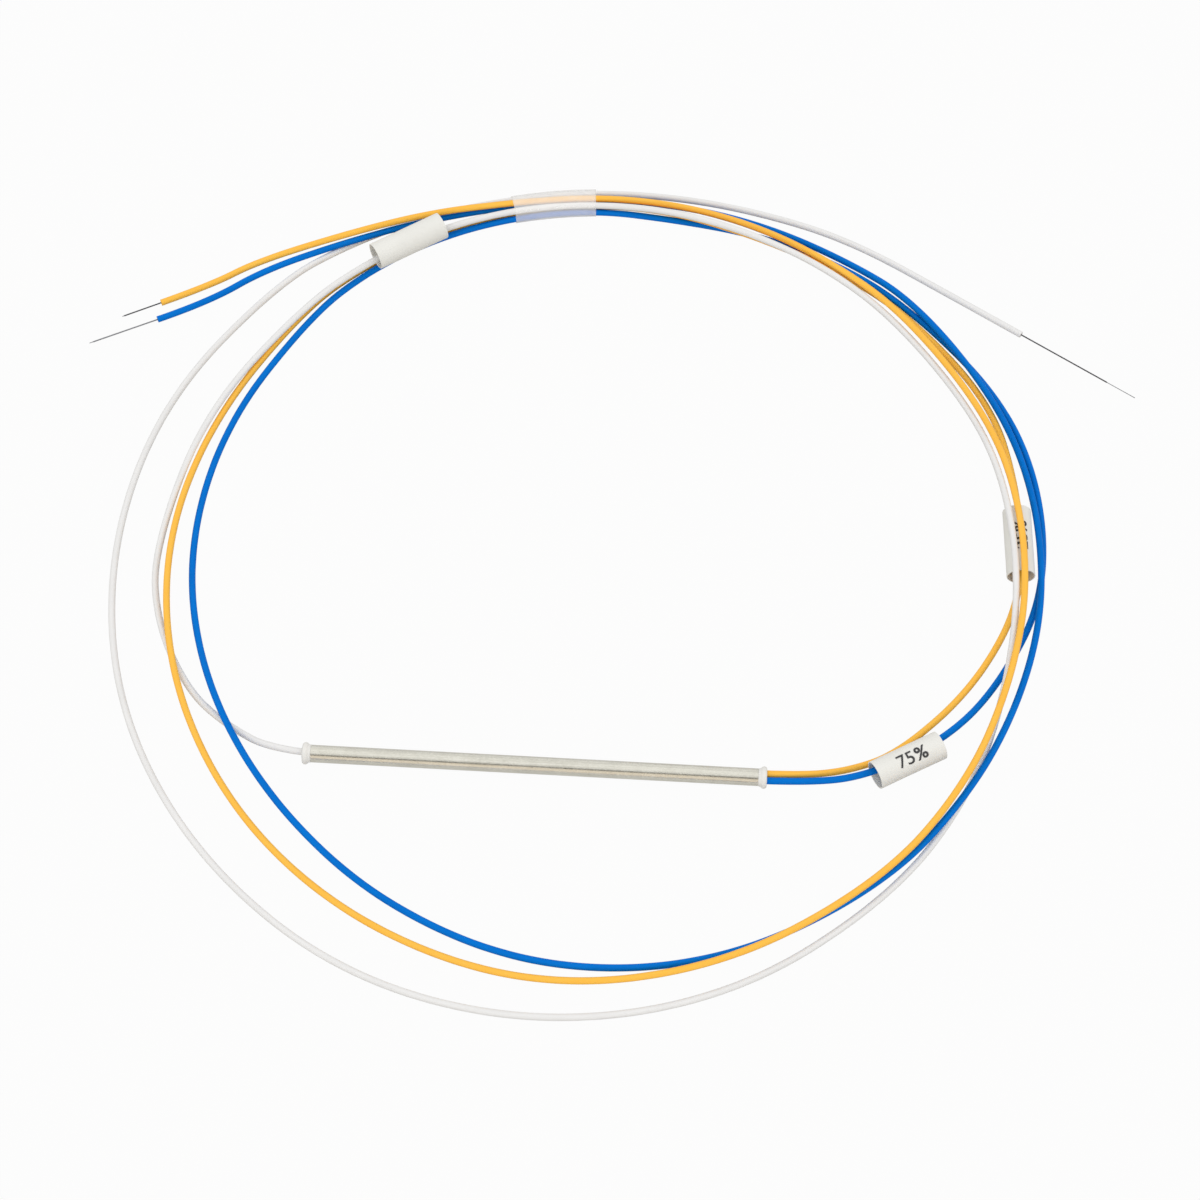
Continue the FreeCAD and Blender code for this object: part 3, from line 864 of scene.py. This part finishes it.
white_sleeve, _, _ = marker_sleeve(
    "White_marker_sleeve", "white_marker_sleeve", "white_marker", WHITE_SLEEVE_RUN,
    share=0.58, aside=0.0, length=14.0, height=4.0, seed=4.0)
yellow_sleeve, yellow_way, yellow_middle = marker_sleeve(
    "Yellow_marker_sleeve", "yellow_marker_sleeve", "yellow_marker", YELLOW_SLEEVE_RUN,
    share=0.455, aside=-0.6, length=13.0, height=2.5, seed=5.0)
blue_sleeve, blue_way, blue_middle = marker_sleeve(
    "Blue_marker_sleeve", "blue_marker_sleeve", "blue_marker", BLUE_SLEEVE_RUN,
    share=0.51, aside=0.6, length=12.6, height=2.5, seed=6.0)
blue_print = printed(
    "Blue_marker_print", "75", "blue_marker", blue_middle, blue_way,
    along=0.0, turn=math.radians(-17.0), boldness=0.01 * MM)
yellow_print = printed(
    "Yellow_marker_print", "25", "yellow_marker", yellow_middle, yellow_way,
    along=0.25 * MM, turn=math.radians(-6.0), boldness=0.06 * MM)


# Milky wrap round the six strands

FILM_THICKNESS = 0.1 * MM
FILM_SPACING = 0.3 * MM
FILM_CREASE = 0.06 * MM
FILM_CREASE_SCALE = 420.0
CORNER_POINTS = 6

# Length of the wrap, its gap round a strand, and the corners of the film's inside before they are
# rounded, outwards and up from its middle, all in millimetres
WRAP_LENGTH = 15.6
WRAP_GAP = 0.06
WRAP_STEPS = 40
WRAP_CORNERS = [(-3.1, 0.12), (4.0, 0.12), (0.83, 2.91), (-2.06, 2.91)]


def wrap_tree():
    """Geometry Nodes tree that carries a section along a path, as a band of film."""
    tree = bpy.data.node_groups.new("Film round strands", "GeometryNodeTree")
    net = Net(tree)
    tree.interface.new_socket("Path", in_out="INPUT", socket_type="NodeSocketGeometry")
    tree.interface.new_socket("Section", in_out="INPUT", socket_type="NodeSocketObject")
    for name, value in (
        ("Corner Radius", (FLOOR + WRAP_GAP) * MM),
        ("Spacing", FILM_SPACING),
        ("Crease", FILM_CREASE),
    ):
        socket = tree.interface.new_socket(name, in_out="INPUT", socket_type="NodeSocketFloat")
        socket.default_value = value
    tree.interface.new_socket("Material", in_out="INPUT", socket_type="NodeSocketMaterial")
    tree.interface.new_socket("Film", in_out="OUTPUT", socket_type="NodeSocketGeometry")
    given = net.add("NodeGroupInput", {}, (), "Path")
    section = net.add("GeometryNodeObjectInfo", {}, {"Object": given.out("Section")}, "Geometry")
    rounded = net.add("GeometryNodeFilletCurve", {"mode": "POLY"}, {
        "Curve": section,
        "Count": CORNER_POINTS,
        "Radius": given.out("Corner Radius"),
        "Limit Radius": True,
    })
    fine = net.add("GeometryNodeResampleCurve", {"mode": "LENGTH"},
                   {"Curve": rounded, "Length": given.out("Spacing")})
    band = net.add("GeometryNodeCurveToMesh", {}, {"Curve": given, "Profile Curve": fine})
    crease = net.add("ShaderNodeTexNoise", {}, {"Scale": FILM_CREASE_SCALE, "Detail": 2.0}, 0)
    push = net.vector("SCALE", {
        0: net.add("GeometryNodeInputNormal"),
        "Scale": (crease - 0.5) * given.out("Crease"),
    })
    creased = net.add("GeometryNodeSetPosition", {}, {"Geometry": band, "Offset": push})
    real = net.add("GeometryNodeRealizeInstances", {}, {"Geometry": creased})
    coloured = net.add("GeometryNodeSetMaterial", {},
                       {"Geometry": real, "Material": given.out("Material")})
    net.add("NodeGroupOutput", {}, {"Film": coloured})
    return tree


def coil_wrap():
    """A band of film drawn round the strands: wide below, where four lie, and narrow above."""
    first = (WRAP_INNER_RUN[1] + WRAP_OUTER_RUN[0]) / 2
    last = (WRAP_INNER_RUN[0] + WRAP_OUTER_RUN[1]) / 2
    middle = (first + last) / 2
    middle.z = 0.0
    chord = Vector((last.x - first.x, last.y - first.y, 0.0))
    outward = Vector((-chord.y, chord.x, 0.0)).normalized()
    bend = (middle - LOOP_CENTRE).length
    centre = middle - outward * bend
    path = []
    for step in range(WRAP_STEPS + 1):
        swing = (step / WRAP_STEPS - 0.5) * WRAP_LENGTH / bend
        point = centre + Matrix.Rotation(-swing, 3, "Z") @ (middle - centre)
        path.append(point * MM)
    points = [Vector((-across, -up, 0)) * MM for across, up in WRAP_CORNERS]
    section = curve_object("Film section", points, "POLY")
    section.data.splines[0].use_cyclic_u = True
    source = curve_object("Film path", path, "POLY")
    source.data.twist_mode = "Z_UP"
    modifier = source.modifiers.new("Film", "NODES")
    modifier.node_group = wrap_tree()
    set_input(modifier, "Section", section)
    set_input(modifier, "Material", FILM)
    set_input(modifier, "Corner Radius", (FLOOR + WRAP_GAP) * MM)
    set_input(modifier, "Crease", FILM_CREASE)
    piece = baked(source, "Coil_wrap")
    remove_curve(section)
    smoothed(piece, 60.0)
    wall = piece.modifiers.new("Film", "SOLIDIFY")
    wall.thickness = FILM_THICKNESS
    wall.offset = 1.0
    # Milky film passes the light on in all directions and hardly shades what is under it
    piece.visible_shadow = False
    piece.visible_diffuse = False
    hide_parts("coil_wrap")
    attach(piece, "coupler")
    return piece


coil_wrap_piece = coil_wrap()

# What lies inside the steel tube keeps its CAD shape and gets its own finish
for node, material in (
    ("inner_shrink_tube", SHRINK),
    ("quartz_substrate", SILICA),
    ("fused_taper", SILICA),
    ("input_taper_bond", ADHESIVE),
    ("output_taper_bond", ADHESIVE),
    ("port_terminator", ADHESIVE),
    ("input_seal", SEALANT),
    ("output_seal", SEALANT),
    ("input_fibre_lead", COAT),
    ("yellow_fibre_lead", COAT),
    ("blue_fibre_lead", COAT),
    ("unused_port_stub", COAT),
):
    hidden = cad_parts[node]
    hidden.data.materials.clear()
    hidden.data.materials.append(material)


# The three pigtails, with their exits, lengths and the pieces on them. Each route is only turned
# into the points that its spline goes through, which nothing uses

for piece, route, exit_x, exit_y, length, pieces_on_it in (
    (white_tube, WHITE_ROUTE, -PLUG_FACE, 0.0, 0.766,
     [white_end, white_sleeve, coil_wrap_piece]),
    (yellow_tube, YELLOW_ROUTE, PLUG_FACE, OUTPUT_ASIDE * MM, 0.758,
     [yellow_end, yellow_sleeve, yellow_print]),
    (blue_tube, BLUE_ROUTE, PLUG_FACE, -OUTPUT_ASIDE * MM, 0.761,
     [blue_end, blue_sleeve, blue_print]),
):
    spline_points([point * MM for point in route])


# Floor, light and camera

PLAIN_WHITE = rgb(254, 254, 254)
FLOOR_HALF_WIDTH = 3.0
FLOOR_DROP = 0.02 * MM
CARD_HALF_WIDTH = 1.6

# Shares of plain white in what the camera and the reflections see of the floor
WHITE_SEEN = 0.975
WHITE_REFLECTED = 0.65


def floor_finish():
    """White sweep: plain white to the camera, with a little of the shadow kept."""
    material, net = new_material("White sweep")
    path = net.add("ShaderNodeLightPath", {}, (), "Is Camera Ray")
    seen = path.maths("MAXIMUM", path, path.out("Is Transmission Ray"))
    share = path.maths("MAXIMUM", seen * WHITE_SEEN, path.out("Is Glossy Ray") * WHITE_REFLECTED)
    paper = net.add("ShaderNodeBsdfPrincipled", {}, {
        "Base Color": rgb(164, 160, 154),
        "Roughness": 0.9,
    })
    glow = net.add("ShaderNodeEmission", {}, {"Color": PLAIN_WHITE, "Strength": 1.0})
    finish_surface(net, net.add("ShaderNodeMixShader", {}, {0: share, 1: paper, 2: glow}))
    return material


def sweep():
    """The floor, a hair below the part, so that the two never share a plane."""
    half = FLOOR_HALF_WIDTH
    corners = [(-half, -half, 0.0), (half, -half, 0.0), (half, half, 0.0), (-half, half, 0.0)]
    mesh = bpy.data.meshes.new("Floor")
    mesh.from_pydata(corners, [], [(0, 1, 2, 3)])
    mesh.materials.append(floor_finish())
    floor = mesh_object("Floor", mesh)
    floor.location.z = -FLOOR_DROP


def world_light(strength):
    """An even, slightly cool light all round, which looks plain white to the camera."""
    world = bpy.data.worlds.new("Studio")
    world.use_nodes = True
    world.node_tree.nodes.clear()
    net = Net(world.node_tree)
    path = net.add("ShaderNodeLightPath", {}, (), "Is Camera Ray")
    seen = path.maths("MAXIMUM", path, path.out("Is Transmission Ray"))
    seen = path.maths("MAXIMUM", seen, path.out("Is Glossy Ray"))
    cool = net.add("ShaderNodeBackground", {}, {"Color": rgb(250, 250, 252), "Strength": strength})
    white = net.add("ShaderNodeBackground", {}, {"Color": PLAIN_WHITE, "Strength": 1.0})
    mixed = net.add("ShaderNodeMixShader", {}, {0: seen, 1: cool, 2: white})
    net.add("ShaderNodeOutputWorld", {}, {"Surface": mixed})
    bpy.context.scene.world = world


def panel(name, place, target, width, height, power, colour=(1.0, 1.0, 1.0)):
    """A rectangular lamp that faces its target."""
    light = bpy.data.lights.new(name, "AREA")
    light.shape = "RECTANGLE"
    light.size = width
    light.size_y = height
    light.energy = power
    light.color = colour
    lamp = bpy.data.objects.new(name, light)
    bpy.context.scene.collection.objects.link(lamp)
    lamp.location = place
    lamp.rotation_euler = (Vector(target) - Vector(place)).to_track_quat("-Z", "Y").to_euler()


def card(name, colour, glow, low, high, away):
    """A card in front, between two angles of height, that only shows as a reflection."""
    material, net = new_material(name)
    shader = net.add("ShaderNodeBsdfPrincipled", {}, {
        "Base Color": colour,
        "Roughness": 0.9,
        "Emission Color": colour,
        "Emission Strength": glow,
    })
    finish_surface(net, shader)
    rows = []
    for rise in (math.radians(low), math.radians(high)):
        for x in (-CARD_HALF_WIDTH, CARD_HALF_WIDTH):
            rows.append((x, -away * math.cos(rise), away * math.sin(rise)))
    mesh = bpy.data.meshes.new(name)
    mesh.from_pydata(rows, [], [(0, 1, 3, 2)])
    mesh.materials.append(material)
    piece = mesh_object(name, mesh)
    piece.visible_camera = False
    piece.visible_diffuse = False
    piece.visible_shadow = False
    piece.visible_transmission = False


CAMERA_TARGET = Vector((9.24, 33.21, 0.0)) * MM
CAMERA_DISTANCE = 508.7 * MM
CAMERA_TILT = math.radians(62.5)
CAMERA_TURN = math.radians(-3.33)
CAMERA_LENS = 87.0


def photo_camera():
    """The view of the photo: a long lens that looks steeply down at the middle of the loop."""
    forward = Vector((
        math.sin(CAMERA_TURN) * math.cos(CAMERA_TILT),
        math.cos(CAMERA_TURN) * math.cos(CAMERA_TILT),
        -math.sin(CAMERA_TILT),
    ))
    right = Vector((math.cos(CAMERA_TURN), -math.sin(CAMERA_TURN), 0.0))
    up = right.cross(forward)
    data = bpy.data.cameras.new("Camera")
    data.lens = CAMERA_LENS
    data.sensor_width = 36.0
    data.clip_start = 0.01
    data.clip_end = 20.0
    camera = bpy.data.objects.new("Camera", data)
    bpy.context.scene.collection.objects.link(camera)
    turned = Matrix((right, up, -forward)).transposed().to_4x4()
    camera.matrix_world = Matrix.Translation(CAMERA_TARGET - forward * CAMERA_DISTANCE) @ turned
    bpy.context.scene.camera = camera


sweep()
card("Black card", (0.02, 0.018, 0.015, 1.0), glow=0.0, low=41.0, high=56.0, away=0.9)
card("Warm card", (0.9, 0.82, 0.72, 1.0), glow=0.55, low=1.0, high=41.0, away=0.92)
world_light(1.0)
panel("Overhead panel", (0.0, 0.3, 1.3), (0.0, 0.04, 0.0), width=2.2, height=1.6, power=1.6)
panel("Front panel", (-0.2, -1.1, 0.4), (0.0, 0.04, 0.0), width=2.2, height=0.5, power=2.0,
      colour=(1.0, 0.97, 0.92))
photo_camera()
bpy.context.scene.view_settings.view_transform = "Standard"
